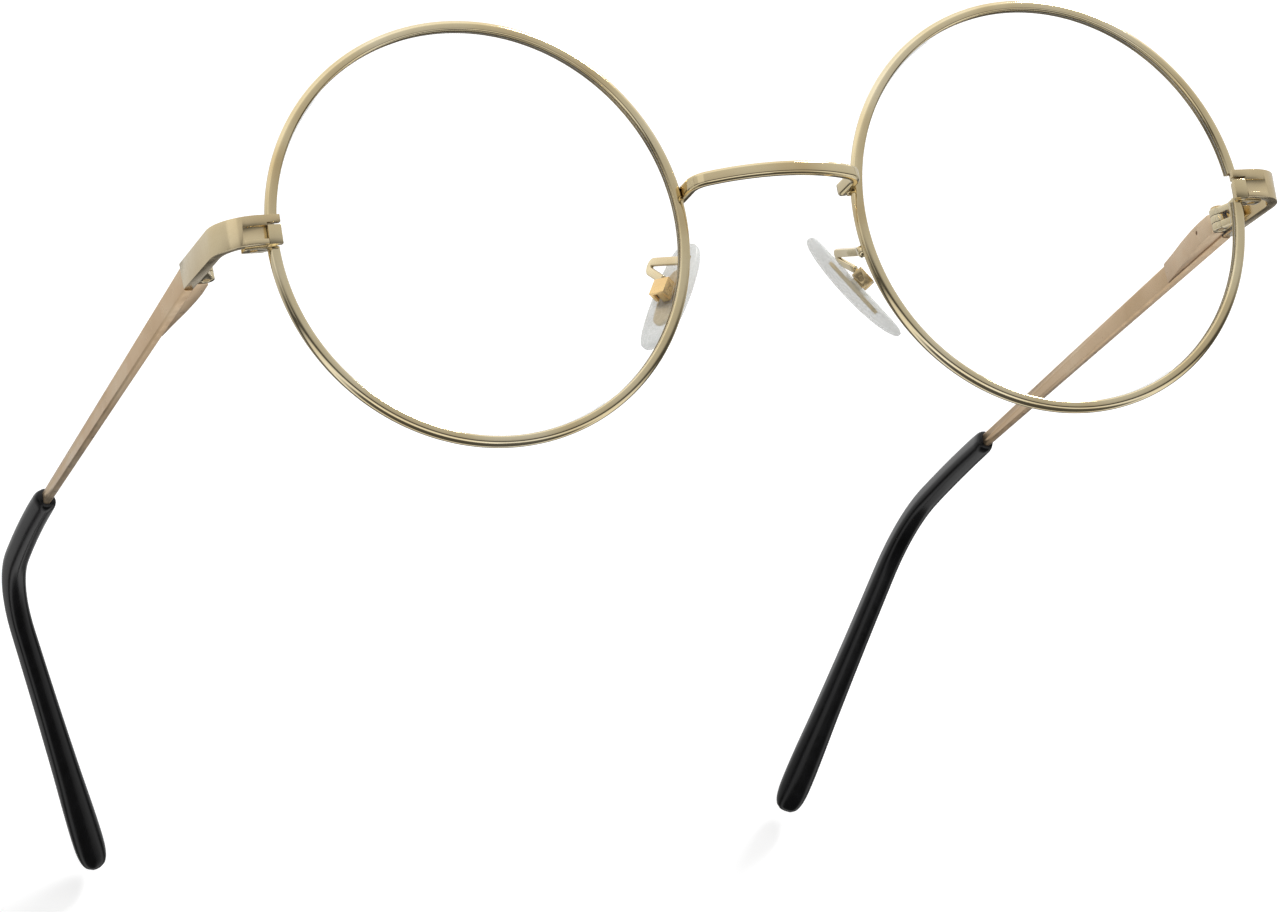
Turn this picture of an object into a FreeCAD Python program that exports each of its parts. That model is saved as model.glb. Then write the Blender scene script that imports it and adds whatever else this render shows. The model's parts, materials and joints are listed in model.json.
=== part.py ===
import FreeCAD, Part
import math
import os
import Sketcher
from FreeCAD import Placement, Rotation, Vector

# Round wire eyeglasses, millimetres.
# Working frame ("rim frame"): origin midway between the two rim centres, +X towards the wearer's left,
# -Y to the front, +Z up, with the rims upright. STAND turns the whole set the way it rests on a table,
# on the bottoms of the rims and the ends of the temple tips.
# Every piece of a pair is modelled for the wearer's left (+X) and mirrored for the right.

doc = FreeCAD.newDocument("round_wire_eyeglasses")

# ----------------------------------------------------------------------------------------------------
# Driving dimensions
# ----------------------------------------------------------------------------------------------------
DIMENSIONS = [
    # eyewires and lenses
    ("rim_radius", 25.0), ("rim_centre", 36.26), ("rim_wrap", 1.12),
    ("wire_width", 1.3), ("wire_depth", 1.4), ("groove_depth", 0.35), ("groove_mouth", 0.84),
    ("split_angle", 2.85), ("split_open", 7.95),
    ("lens_edge_radius", 24.6), ("lens_rim_radius", 24.15), ("lens_thickness", 1.0),
    ("lens_bevel", 0.8), ("lens_curve", 120.0),
    # bridge
    ("bridge_tall", 1.65), ("bridge_thick", 1.2), ("bridge_end_x", 10.3), ("bridge_end_y", 1.0),
    ("bridge_end_z", 3.45), ("bridge_leg", 3.5), ("bridge_corner", 2.5), ("bridge_slant", 28.0),
    ("bridge_pitch", 3.6),
    # end piece
    ("band_thick", 1.2), ("band_front", 1.25), ("band_outer", 67.8), ("band_bend", 5.0),
    ("band_low", 0.45), ("band_high", 3.0), ("band_start", 62.15), ("band_rear", 15.0),
    ("band_rear_outer", 67.48), ("band_rear_low", 0.4), ("band_rear_high", 2.55),
    ("bar_start", 60.5), ("bar_low", 2.1), ("channel_low", 0.15), ("channel_high", 1.75),
    ("channel_deep", 0.5), ("channel_end", 64.9),
    # rim lock
    ("lock_rear", 1.9), ("lock_outer", 64.6), ("lock_inner", 61.0), ("lock_lip", 0.55),
    ("lock_split", 1.8), ("lock_seat", 0.45), ("lock_low", 0.5), ("plate_low", 0.6),
    ("lock_screw_x", 63.4), ("lock_screw_y", 0.95), ("lock_screw_radius", 0.45),
    ("screw_head_radius", 0.75), ("screw_head_tall", 0.3),
    # hinge
    ("hinge_x", 65.25), ("hinge_y", 13.2), ("hinge_z", 1.1), ("temple_slope", 5.27), ("temple_yaw", 2.05),
    ("knuckle_radius", 1.0), ("knuckle_half", 0.42), ("lug_half", 1.3), ("hinge_gap", 0.07),
    ("pin_radius", 0.42), ("running_fit", 0.03), ("leaf_inner", 0.45), ("leaf_outer", 1.2),
    ("leaf_length", 4.4),
    # spring hinge
    ("slide_axis", 0.48), ("slide_half_width", 0.4), ("slide_half_height", 0.4), ("slide_bar_end", 4.4),
    ("rod_radius", 0.16), ("rod_end", 9.9), ("collar_radius", 0.34), ("collar_long", 0.5),
    ("wall_front", 5.3), ("wall_rear", 6.0), ("chamber_radius", 0.42), ("chamber_end", 10.1),
    ("housing_front", 1.15), ("housing_half_height", 1.25), ("housing_end", 17.0),
    ("dimple_at", 4.9), ("spring_radius", 0.29), ("spring_wire", 0.07), ("spring_turns", 9.0),
    # temple
    ("strip_inner", 1.05), ("strip_front", 1.95), ("strip_end", 73.0), ("strip_drop", 0.15),
    # nose pads
    ("pad_long", 15.7), ("pad_wide", 5.6), ("pad_thick", 2.2), ("pad_round", 1.0), ("pad_hem", 0.35),
    ("insert_long", 8.2), ("insert_wide", 3.2), ("insert_thick", 0.4), ("insert_level", 0.1),
    ("boss_wide", 1.1), ("boss_long", 1.5), ("boss_top", 2.15), ("seat_long", 3.3), ("seat_wide", 2.9),
    ("seat_deep", 0.55), ("box_wide", 2.2), ("box_long", 2.2), ("box_wall", 0.45), ("box_roof", 0.35),
    ("box_floor", 1.15), ("pad_screw_radius", 0.3), ("pad_screw_level", 1.65), ("arm_wide", 0.5),
    ("arm_thick", 1.05), ("arm_bend", 0.6),
    # standing pose
    ("lean", 7.57),
]

sheet = doc.addObject("Spreadsheet::Sheet", "Dims")
for row, (alias, number) in enumerate(DIMENSIONS, start=1):
    sheet.set("A%d" % row, alias)
    sheet.set("B%d" % row, str(number))
    sheet.setAlias("B%d" % row, alias)
doc.recompute()


class Size:
    """A number together with the spreadsheet expression that gives it."""

    def __init__(self, value, text):
        self.value = float(value)
        self.text = text

    def _join(self, other, sign, value):
        return Size(value, "(%s %s %s)" % (self.text, sign, size(other).text))

    def __add__(self, other):
        return self._join(other, "+", self.value + size(other).value)

    def __sub__(self, other):
        return self._join(other, "-", self.value - size(other).value)

    def __mul__(self, other):
        return self._join(other, "*", self.value * size(other).value)

    def __truediv__(self, other):
        return self._join(other, "/", self.value / size(other).value)

    def __neg__(self):
        return Size(-self.value, "(0 - %s)" % self.text)


def size(value):
    return value if isinstance(value, Size) else Size(value, repr(float(value)))


def dim(alias):
    return Size(sheet.get(alias), "Dims." + alias)


# ----------------------------------------------------------------------------------------------------
# Helpers
# ----------------------------------------------------------------------------------------------------
def new_body(name, placement):
    body = doc.addObject("PartDesign::Body", name)
    body.Label = name
    body.Placement = placement
    return body


def new_sketch(body, name, plane="XY_Plane", offset=None):
    sketch = body.newObject("Sketcher::SketchObject", name)
    support = [item for item in body.Origin.OriginFeatures if item.Role == plane][0]
    sketch.AttachmentSupport = [(support, "")]
    sketch.MapMode = "FlatFace"
    if offset is not None:
        sketch.AttachmentOffset = offset
    return sketch


def pin_point(sketch, geometry, position, x, y):
    """Holds one sketch point at spreadsheet-driven coordinates."""
    for kind, value, axis in (("DistanceX", size(x), -2), ("DistanceY", size(y), -1)):
        if abs(value.value) < 1e-9:
            sketch.addConstraint(Sketcher.Constraint("PointOnObject", geometry, position, axis))
            continue
        made = sketch.addConstraint(Sketcher.Constraint(kind, -1, 1, geometry, position, value.value))
        if "Dims" in value.text:
            sketch.setExpression("Constraints[%d]" % made, value.text)


def polygon(sketch, points, closed=True):
    """Straight-sided outline; every corner is driven by the sheet."""
    first = sketch.GeometryCount
    corners = [Vector(size(x).value, size(y).value, 0) for x, y in points]
    count = len(points) if closed else len(points) - 1
    for index in range(count):
        end = corners[(index + 1) % len(points)]
        sketch.addGeometry(Part.LineSegment(corners[index], end))
    for index in range(count - (0 if closed else 1)):
        following = first + (index + 1) % count
        sketch.addConstraint(Sketcher.Constraint("Coincident", first + index, 2, following, 1))
    for index in range(count):
        pin_point(sketch, first + index, 1, *points[index])
    if not closed:
        pin_point(sketch, first + count - 1, 2, *points[-1])
    return first


def rectangle(sketch, low_x, low_y, high_x, high_y):
    return polygon(sketch, [(low_x, low_y), (high_x, low_y), (high_x, high_y), (low_x, high_y)])


def circle(sketch, x, y, radius):
    radius = size(radius)
    made = sketch.addGeometry(Part.Circle(Vector(size(x).value, size(y).value, 0), Vector(0, 0, 1),
                                          radius.value))
    pin_point(sketch, made, 3, x, y)
    rule = sketch.addConstraint(Sketcher.Constraint("Radius", made, radius.value))
    sketch.setExpression("Constraints[%d]" % rule, radius.text)
    return made


def arc_through(sketch, start, middle, end):
    sketch.addGeometry(Part.Arc(Vector(*start, 0), Vector(*middle, 0), Vector(*end, 0)))


def extrude(body, kind, name, sketch, length=None, side="One side", backwards=False):
    feature = body.newObject("PartDesign::" + kind, name)
    feature.Profile = sketch
    feature.SideType = side
    feature.Reversed = backwards
    if length is None:
        feature.Type = "ThroughAll"
    else:
        feature.Length = size(length).value
        feature.setExpression("Length", size(length).text)
    sketch.Visibility = False
    doc.recompute()
    return feature


def spin(body, kind, name, sketch, axis="V_Axis", angle=360.0):
    feature = body.newObject("PartDesign::" + kind, name)
    feature.Profile = sketch
    feature.ReferenceAxis = (sketch, [axis])
    feature.Angle = size(angle).value
    feature.setExpression("Angle", size(angle).text)
    doc.recompute()
    return feature


def loft(body, kind, name, sketches, ruled=False):
    feature = body.newObject("PartDesign::" + kind, name)
    feature.Profile = sketches[0]
    feature.Sections = sketches[1:]
    feature.Ruled = ruled
    doc.recompute()
    return feature


def soften(body, name, base, radius, chosen):
    """Fillets the edges that chosen(edge) accepts."""
    edges = ["Edge%d" % (index + 1) for index, edge in enumerate(base.Shape.Edges) if chosen(edge)]
    feature = body.newObject("PartDesign::Fillet", name)
    feature.Base = (base, edges)
    feature.Radius = radius
    doc.recompute()
    return feature


X, Y, Z = Vector(1, 0, 0), Vector(0, 1, 0), Vector(0, 0, 1)
here = Placement()

rim_place = Placement(Vector(sheet.rim_centre, 0, 0), Rotation(Z, sheet.rim_wrap))
hinge_place = Placement(Vector(sheet.hinge_x, sheet.hinge_y, sheet.hinge_z), Rotation(X, -sheet.temple_slope))
temple_place = hinge_place.multiply(Placement(Vector(), Rotation(Z, sheet.temple_yaw)))


# ----------------------------------------------------------------------------------------------------
# Eyewire: grooved wire bent into a ring that is open at the rim lock
# ----------------------------------------------------------------------------------------------------
def make_rim():
    opened = Rotation(Y, -(sheet.split_angle - sheet.split_open / 2.0))
    body = new_body("rim_left", rim_place.multiply(Placement(Vector(), opened)))
    inner = dim("rim_radius") - dim("wire_width") / 2
    outer = dim("rim_radius") + dim("wire_width") / 2
    half = dim("wire_depth") / 2
    round_off = 0.35
    section = new_sketch(body, "RimSection")
    polygon(section, [
        (inner, -(dim("groove_mouth") / 2)), (inner, -half + round_off / 2), (inner + round_off / 2, -half),
        (outer - round_off, -half), (outer - round_off / 3, -half + round_off / 3), (outer, -half + round_off),
        (outer, half - round_off), (outer - round_off / 3, half - round_off / 3), (outer - round_off, half),
        (inner + round_off / 2, half), (inner, half - round_off / 2), (inner, dim("groove_mouth") / 2),
        (inner + dim("groove_depth"), 0.12), (inner + dim("groove_depth"), -0.12)])
    spin(body, "Revolution", "RimWire", section, "V_Axis", size(360.0) - dim("split_open"))
    return body


# ----------------------------------------------------------------------------------------------------
# Lens: round meniscus with a bevelled edge that sits in the eyewire groove
# ----------------------------------------------------------------------------------------------------
def make_lens():
    body = new_body("lens_left", rim_place)
    edge = sheet.lens_rim_radius
    half = sheet.lens_thickness / 2.0
    curve = sheet.lens_curve
    sag = curve - math.sqrt(curve * curve - edge * edge)
    section = new_sketch(body, "LensSection")
    bevel = dim("lens_bevel") / 2
    thick = dim("lens_thickness") / 2
    rim = dim("lens_rim_radius")
    polygon(section, [(rim, -thick), (rim, -bevel), (dim("lens_edge_radius"), 0), (rim, bevel), (rim, thick)],
            closed=False)
    middle = edge / 2.0
    lift = sag - (curve - math.sqrt(curve * curve - middle * middle))
    arc_through(section, (edge, half), (middle, half - lift), (0.0, half - sag))
    section.addGeometry(Part.LineSegment(Vector(0, half - sag, 0), Vector(0, -half - sag, 0)))
    arc_through(section, (0.0, -half - sag), (middle, -half - lift), (edge, -half))
    spin(body, "Revolution", "LensDisc", section, "V_Axis")
    return body


# ----------------------------------------------------------------------------------------------------
# Bridge: rounded strip bowed forward and up, its ends turned back beside the rims
# ----------------------------------------------------------------------------------------------------
def make_bridge():
    tilt = Rotation(X, -sheet.bridge_pitch)
    body = new_body("bridge", Placement(Vector(0, sheet.bridge_end_y, sheet.bridge_end_z), tilt))
    end_x, leg, corner = sheet.bridge_end_x, sheet.bridge_leg, sheet.bridge_corner
    slant = math.radians(sheet.bridge_slant)
    path = new_sketch(body, "BridgePath")
    # Left half from the rim to the middle, then its mirror image; every arc is tangent to the next.
    turn = math.radians(90.0) - slant
    cut_x = end_x - corner * (1 - math.cos(turn))
    cut_y = -leg - corner * math.sin(turn)
    bow = cut_x * math.tan(slant / 2.0) - cut_y
    half_turn = turn / 2.0
    mid = (end_x - corner * (1 - math.cos(half_turn)), -leg - corner * math.sin(half_turn))
    right = [((end_x, 0.0), (end_x, -leg)), ((end_x, -leg), mid, (cut_x, cut_y))]
    path.addGeometry(Part.LineSegment(Vector(end_x, 0, 0), Vector(end_x, -leg, 0)))
    arc_through(path, right[1][0], right[1][1], right[1][2])
    arc_through(path, (cut_x, cut_y), (0.0, -bow), (-cut_x, cut_y))
    arc_through(path, (-cut_x, cut_y), (-mid[0], mid[1]), (-end_x, -leg))
    path.addGeometry(Part.LineSegment(Vector(-end_x, -leg, 0), Vector(-end_x, 0, 0)))
    section = new_sketch(body, "BridgeSection", "XZ_Plane")
    tall = dim("bridge_tall") / 2
    thick = dim("bridge_thick") / 2
    mid_x = dim("bridge_end_x")
    bit = 0.3
    polygon(section, [
        (mid_x - thick, -tall + bit), (mid_x - thick + bit, -tall), (mid_x + thick - bit, -tall),
        (mid_x + thick, -tall + bit), (mid_x + thick, tall - bit), (mid_x + thick - bit, tall),
        (mid_x - thick + bit, tall), (mid_x - thick, tall - bit)])
    pipe = body.newObject("PartDesign::AdditivePipe", "BridgeStrip")
    pipe.Profile = section
    pipe.Spine = (path, ["Edge%d" % (number + 1) for number in range(5)])
    pipe.Transition = "Round corner"
    doc.recompute()
    return body


# ----------------------------------------------------------------------------------------------------
# End piece: band that wraps from the rim lock round to the hinge, channelled on its front
# ----------------------------------------------------------------------------------------------------
def make_end_piece():
    body = new_body("end_piece_left", here)
    outer = sheet.band_outer
    bend = sheet.band_bend
    thick = sheet.band_thick
    lead = -sheet.band_front
    rear = sheet.band_rear + 1.0
    plan = new_sketch(body, "BandPlan", offset=Placement(Vector(0, 0, -sheet.band_low - 0.4), Rotation()))
    centre = (outer - bend, lead + bend)
    points = [(sheet.band_start, lead), (centre[0], lead), (outer, centre[1]), (sheet.band_rear_outer, rear),
              (sheet.band_rear_outer - thick, rear), (outer - thick, centre[1]), (centre[0], lead + thick),
              (sheet.band_start, lead + thick)]
    diagonal = math.sqrt(0.5)
    for index, point in enumerate(points):
        following = points[(index + 1) % len(points)]
        if index == 1 or index == 5:
            radius = bend if index == 1 else bend - thick
            middle = (centre[0] + radius * diagonal, centre[1] - radius * diagonal)
            arc_through(plan, point, middle, following)
        else:
            plan.addGeometry(Part.LineSegment(Vector(*point, 0), Vector(*following, 0)))
    extrude(body, "Pad", "Band", plan, dim("band_low") + dim("band_high") + 0.4)
    # Upper bar under the cut upper end of the eyewire, notched for the lens edge.
    bar = new_sketch(body, "BarPlan", offset=Placement(Vector(0, 0, sheet.bar_low), Rotation()))
    rear_face = dim("wire_depth") / 2
    polygon(bar, [(dim("bar_start"), -dim("band_front")), (dim("band_start") + 0.2, -dim("band_front")),
                  (dim("band_start") + 0.2, rear_face), (dim("lock_inner"), rear_face),
                  (dim("lock_inner"), -dim("lock_lip")), (dim("bar_start"), -dim("lock_lip"))])
    extrude(body, "Pad", "Bar", bar, dim("band_high") - dim("bar_low"))
    # Upper and lower edges run down towards the temple, and the rear end is square to it.
    trim = new_sketch(body, "SideTrim", "YZ_Plane", Placement(Vector(0, 0, 60.0), Rotation()))
    lean = math.tan(math.radians(sheet.temple_slope))
    high, low = sheet.band_high, -sheet.band_low
    rear_high, rear_low = sheet.band_rear_high, -sheet.band_rear_low
    rear_low -= 0.2
    high_y = sheet.band_rear + lean * (high - sheet.hinge_z)
    low_y = sheet.band_rear + lean * (low - 0.4 - sheet.hinge_z)
    polygon(trim, [(2.0, high), (high_y, rear_high), (low_y, rear_low), (2.0, low), (-5.0, low),
                   (-5.0, low - 1.0), (rear + 1.0, low - 1.0), (rear + 1.0, high + 1.0), (2.0, high + 1.0)])
    extrude(body, "Pocket", "TrimmedEdges", trim, 12.0, backwards=True)
    # Channel milled in the front, closed by a round end.
    slot = new_sketch(body, "ChannelOutline", "XZ_Plane", Placement(Vector(0, 0, sheet.band_front), Rotation()))
    low, high = sheet.channel_low, sheet.channel_high
    end = sheet.channel_end
    radius = (high - low) / 2.0
    start = sheet.band_start - 1.0
    slot.addGeometry(Part.LineSegment(Vector(start, high, 0), Vector(start, low, 0)))
    slot.addGeometry(Part.LineSegment(Vector(start, low, 0), Vector(end, low, 0)))
    arc_through(slot, (end, low), (end + radius, (low + high) / 2.0), (end, high))
    slot.addGeometry(Part.LineSegment(Vector(end, high, 0), Vector(start, high, 0)))
    extrude(body, "Pocket", "Channel", slot, dim("channel_deep"))
    return body


# ----------------------------------------------------------------------------------------------------
# Rim lock: two blocks that close the eyewire round the lens, and their screw
# ----------------------------------------------------------------------------------------------------
def make_lock_upper():
    body = new_body("rim_lock_upper_left", here)
    face = dim("band_thick") - dim("band_front")
    seat = Placement(Vector(0, 0, sheet.lock_seat), Rotation())
    plan = new_sketch(body, "UpperPlan", offset=seat)
    outer = dim("lock_outer")
    polygon(plan, [(dim("band_start") + 0.22, face + 0.03), (outer - 1.4, face + 0.03), (outer, face + 0.5),
                   (outer, dim("lock_rear")), (dim("band_start") + 0.22, dim("lock_rear"))])
    extrude(body, "Pad", "UpperBlock", plan, dim("band_high") - dim("lock_seat") - 0.1)
    hole = new_sketch(body, "ScrewHole", offset=seat)
    circle(hole, dim("lock_screw_x"), dim("lock_screw_y"), dim("lock_screw_radius") + dim("running_fit"))
    extrude(body, "Pocket", "ScrewBore", hole, 4.0, backwards=True)
    return body


def make_lock_lower():
    body = new_body("rim_lock_lower_left", here)
    face = dim("band_thick") - dim("band_front") + 0.03
    wire_face = dim("wire_depth") / 2
    plan = new_sketch(body, "BlockPlan", offset=Placement(Vector(0, 0, -sheet.lock_low), Rotation()))
    polygon(plan, [(dim("bar_start"), -dim("band_front")), (dim("band_start") - 0.05, -dim("band_front")),
                   (dim("band_start") - 0.05, wire_face), (dim("lock_inner"), wire_face),
                   (dim("lock_inner"), -dim("lock_lip")), (dim("bar_start"), -dim("lock_lip"))])
    extrude(body, "Pad", "LowerBlock", plan, dim("lock_split") + dim("lock_low"))
    low = Placement(Vector(0, 0, -sheet.plate_low), Rotation())
    plate = new_sketch(body, "PlatePlan", offset=low)
    outer = dim("lock_outer")
    polygon(plate, [(dim("lock_inner"), wire_face), (dim("lock_inner"), face), (outer - 1.4, face),
                    (outer, face + 0.5), (outer, dim("lock_rear")), (dim("band_start"), dim("lock_rear"))])
    extrude(body, "Pad", "Plate", plate, dim("plate_low") + dim("lock_seat") - 0.1)
    hole = new_sketch(body, "ScrewHole", offset=low)
    circle(hole, dim("lock_screw_x"), dim("lock_screw_y"), dim("lock_screw_radius") + dim("running_fit"))
    extrude(body, "Pocket", "ScrewBore", hole, 2.5, backwards=True)
    return body


def make_screw(name, placement, radius, low, high, head_radius, head_tall, slot_wide=0.2):
    """Slotted cheese-head screw along local Z, head at the low end."""
    body = new_body(name, placement)
    section = new_sketch(body, "ScrewSection", "XZ_Plane")
    polygon(section, [(0, low), (radius, low), (radius, high), (0, high)])
    spin(body, "Revolution", "Shank", section, "V_Axis")
    head = new_sketch(body, "HeadOutline", offset=Placement(Vector(0, 0, size(low).value), Rotation()))
    circle(head, 0, 0, head_radius)
    extrude(body, "Pad", "Head", head, head_tall, backwards=True)
    slot = new_sketch(body, "SlotOutline",
                      offset=Placement(Vector(0, 0, size(low).value - size(head_tall).value), Rotation()))
    rectangle(slot, -2.0, -slot_wide / 2, 2.0, slot_wide / 2)
    extrude(body, "Pocket", "Slot", slot, size(head_tall) / 2, backwards=True)
    return body


# ----------------------------------------------------------------------------------------------------
# Hinge: leaf with two lugs on the end piece, sprung slider with the middle knuckle, screw
# ----------------------------------------------------------------------------------------------------
def make_hinge_leaf():
    body = new_body("hinge_leaf_left", hinge_place)
    lug = dim("lug_half")
    plan = new_sketch(body, "LeafPlan")
    rectangle(plan, dim("leaf_inner"), -dim("leaf_length"), dim("leaf_outer"), -1.35)
    extrude(body, "Pad", "Leaf", plan, lug * 2, side="Symmetric")
    for number, level in enumerate((-sheet.lug_half, sheet.knuckle_half + sheet.hinge_gap)):
        offset = Placement(Vector(0, 0, level), Rotation())
        tall = lug - dim("knuckle_half") - dim("hinge_gap")
        ear = new_sketch(body, "LugPlan%d" % number, offset=offset)
        circle(ear, 0, 0, dim("knuckle_radius"))
        extrude(body, "Pad", "Lug%d" % number, ear, tall)
        web = new_sketch(body, "WebPlan%d" % number, offset=offset)
        polygon(web, [(0.0, 0.0), (-0.4, -1.0), (dim("leaf_inner"), -2.2), (dim("leaf_outer"), -2.2),
                      (dim("leaf_outer"), 0.0)])
        extrude(body, "Pad", "Web%d" % number, web, tall)
    hole = new_sketch(body, "PinHole", offset=Placement(Vector(0, 0, -3.0), Rotation()))
    circle(hole, 0, 0, dim("pin_radius") + dim("running_fit"))
    extrude(body, "Pocket", "PinBore", hole, 6.0, backwards=True)
    return body


def make_slider():
    body = new_body("hinge_slider_left", temple_place)
    knuckle = new_sketch(body, "KnucklePlan")
    circle(knuckle, 0, 0, dim("knuckle_radius"))
    extrude(body, "Pad", "Knuckle", knuckle, dim("knuckle_half") * 2, side="Symmetric")
    bar = new_sketch(body, "BarPlan")
    axis = dim("slide_axis")
    rectangle(bar, axis - dim("slide_half_width"), 0.0, axis + dim("slide_half_width"), dim("slide_bar_end"))
    extrude(body, "Pad", "SlideBar", bar, dim("slide_half_height") * 2, side="Symmetric")
    start = dim("slide_bar_end") - 0.3
    rod = new_sketch(body, "RodOutline", "XZ_Plane", Placement(Vector(0, 0, -start.value), Rotation()))
    circle(rod, axis, 0, dim("rod_radius"))
    extrude(body, "Pad", "Rod", rod, dim("rod_end") - start, backwards=True)
    level = sheet.rod_end - sheet.collar_long
    collar = new_sketch(body, "CollarOutline", "XZ_Plane", Placement(Vector(0, 0, -level), Rotation()))
    circle(collar, axis, 0, dim("collar_radius"))
    extrude(body, "Pad", "Collar", collar, dim("collar_long"), backwards=True)
    hole = new_sketch(body, "PinHole", offset=Placement(Vector(0, 0, -3.0), Rotation()))
    circle(hole, 0, 0, dim("pin_radius") + dim("running_fit"))
    extrude(body, "Pocket", "PinBore", hole, 6.0, backwards=True)
    return body


def make_hinge_spring():
    turned = Placement(Vector(sheet.slide_axis, 0, 0), Rotation(X, -90.0))
    body = new_body("hinge_spring_left", temple_place.multiply(turned))
    start = dim("wall_rear") + dim("spring_wire") + 0.04
    section = new_sketch(body, "WireSection", "XZ_Plane")
    circle(section, dim("spring_radius"), start, dim("spring_wire"))
    coil = body.newObject("PartDesign::AdditiveHelix", "Coil")
    coil.Profile = section
    coil.ReferenceAxis = (section, ["V_Axis"])
    coil.Mode = "height-turns-angle"
    height = dim("rod_end") - dim("collar_long") - dim("spring_wire") - 0.04 - start
    coil.Height = height.value
    coil.setExpression("Height", height.text)
    coil.Turns = sheet.spring_turns
    coil.setExpression("Turns", "Dims.spring_turns")
    doc.recompute()
    return body


def make_housing():
    body = new_body("hinge_housing_left", temple_place)
    front = dim("housing_front")
    seat = dim("strip_inner")
    plan = new_sketch(body, "HousingPlan")
    # The front stays clear of the end piece; further back the housing tapers into the strip.
    polygon(plan, [(seat - 0.15, front), (seat - 0.15, dim("strip_front") + 0.05),
                   (seat, dim("strip_front") + 0.05), (seat, dim("housing_end")),
                   (seat - 0.1, dim("housing_end")), (seat - 0.55, 13.6), (seat - 1.15, 9.8),
                   (seat - 1.55, 6.4), (seat - 1.7, 4.2), (seat - 1.7, front + 0.4),
                   (seat - 1.4, front)])
    extrude(body, "Pad", "Shell", plan, dim("housing_half_height") * 2, side="Symmetric")
    fit = dim("running_fit")
    axis = dim("slide_axis")
    mouth = Placement(Vector(0, 0, -1.0), Rotation())
    channel = new_sketch(body, "ChannelOutline", "XZ_Plane", mouth)
    rectangle(channel, axis - dim("slide_half_width") - fit, -dim("slide_half_height") - fit,
              axis + dim("slide_half_width") + fit, dim("slide_half_height") + fit)
    extrude(body, "Pocket", "SlideChannel", channel, dim("wall_front") - 1.0)
    bore = new_sketch(body, "RodOutline", "XZ_Plane", mouth)
    circle(bore, axis, 0, dim("rod_radius") + fit)
    extrude(body, "Pocket", "RodBore", bore, dim("wall_rear"))
    wall = Placement(Vector(0, 0, -sheet.wall_rear), Rotation())
    chamber = new_sketch(body, "ChamberOutline", "XZ_Plane", wall)
    circle(chamber, axis, 0, dim("chamber_radius"))
    extrude(body, "Pocket", "Chamber", chamber, dim("chamber_end") - dim("wall_rear"))
    side = Placement(Vector(0, 0, sheet.strip_inner - 1.75), Rotation())
    dimple = new_sketch(body, "DimpleOutline", "YZ_Plane", side)
    circle(dimple, dim("dimple_at"), 0.35, 0.25)
    extrude(body, "Pocket", "Dimple", dimple, 0.25, backwards=True)
    return body


# ----------------------------------------------------------------------------------------------------
# Temple: tapering strip, then a core wire along the ear bend; the tip is moulded over the core
# ----------------------------------------------------------------------------------------------------
STRIP_STATIONS = [(0.0, 1.2, 3.05), (17.0, 1.2, 2.8), (45.0, 1.05, 2.1), (73.0, 0.9, 1.65)]
BEND_TILT = 22.9
STRAIGHT_RUN = 18.2
BEND_RADIUS = 18.0
BEND_ANGLE = 45.3
PATH_DROP = 6.0
TIP_STATIONS = [(0.0, 1.7, 2.2), (1.0, 2.25, 2.8), (3.0, 2.5, 3.0), (8.0, 2.55, 3.0), (12.0, 2.55, 3.0),
                (16.0, 2.55, 3.05), (19.0, 2.55, 3.1), (22.0, 2.6, 3.1), (25.0, 2.6, 3.2), (28.0, 2.65, 3.2),
                (31.0, 2.7, 3.3), (34.0, 2.7, 3.3), (43.0, 2.9, 3.4), (53.0, 3.4, 3.5), (60.0, 4.0, 3.5),
                (64.0, 4.1, 3.4), (66.3, 3.5, 2.9), (67.7, 2.2, 1.8)]
CORE_STATIONS = [-1.0, 4.0, 8.0, 12.0, 15.0, 18.0, 21.0, 24.0, 27.0, 30.0, 34.0, 42.0, 52.0, 62.0]


def octagon(sketch, wide, tall, cut):
    half_x, half_y = wide / 2.0, tall / 2.0
    polygon(sketch, [(half_x, -half_y + cut), (half_x, half_y - cut), (half_x - cut, half_y),
                     (-half_x + cut, half_y), (-half_x, half_y - cut), (-half_x, -half_y + cut),
                     (-half_x + cut, -half_y), (half_x - cut, -half_y)])


def ear_frame(distance):
    """Local frame on the temple's centre line, a distance past the end of the flat strip."""
    first = math.radians(PATH_DROP)
    along, down, angle = 0.0, 0.0, 0.0
    steps = 200
    length = max(distance, 0.0)
    for step in range(steps):
        reached = length * (step + 0.5) / steps
        if reached < STRAIGHT_RUN:
            angle = first * reached / STRAIGHT_RUN
        else:
            angle = first + min((reached - STRAIGHT_RUN) / BEND_RADIUS, math.radians(BEND_ANGLE))
        along += math.cos(angle) * length / steps
        down += math.sin(angle) * length / steps
    tilt = math.radians(BEND_TILT)
    centre_x = sheet.strip_inner + STRIP_STATIONS[0][1] / 2.0
    place = Vector(centre_x - down * math.sin(tilt), sheet.strip_end + along + min(distance, 0.0),
                   -down * math.cos(tilt) - sheet.strip_drop)
    turn = Rotation(Y, BEND_TILT).multiply(Rotation(X, 90.0 - math.degrees(angle)))
    return Placement(place, turn)


def make_temple():
    body = new_body("temple_left", temple_place)
    centre_x = sheet.strip_inner + STRIP_STATIONS[0][1] / 2.0
    sections = []
    for number, (at, thick, tall) in enumerate(STRIP_STATIONS):
        level = at if at > 0 else sheet.strip_front
        place = Placement(Vector(centre_x, level, -sheet.strip_drop), Rotation(X, 90.0))
        sketch = new_sketch(body, "StripSection%d" % number, offset=place)
        octagon(sketch, thick, tall, 0.22)
        sections.append(sketch)
    loft(body, "AdditiveLoft", "Strip", sections, ruled=True)
    core = []
    for number, distance in enumerate(CORE_STATIONS):
        sketch = new_sketch(body, "CoreSection%d" % number, offset=ear_frame(distance))
        octagon(sketch, 0.7, 1.1, 0.2)
        core.append(sketch)
    loft(body, "AdditiveLoft", "Core", core, ruled=True)
    return body


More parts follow.
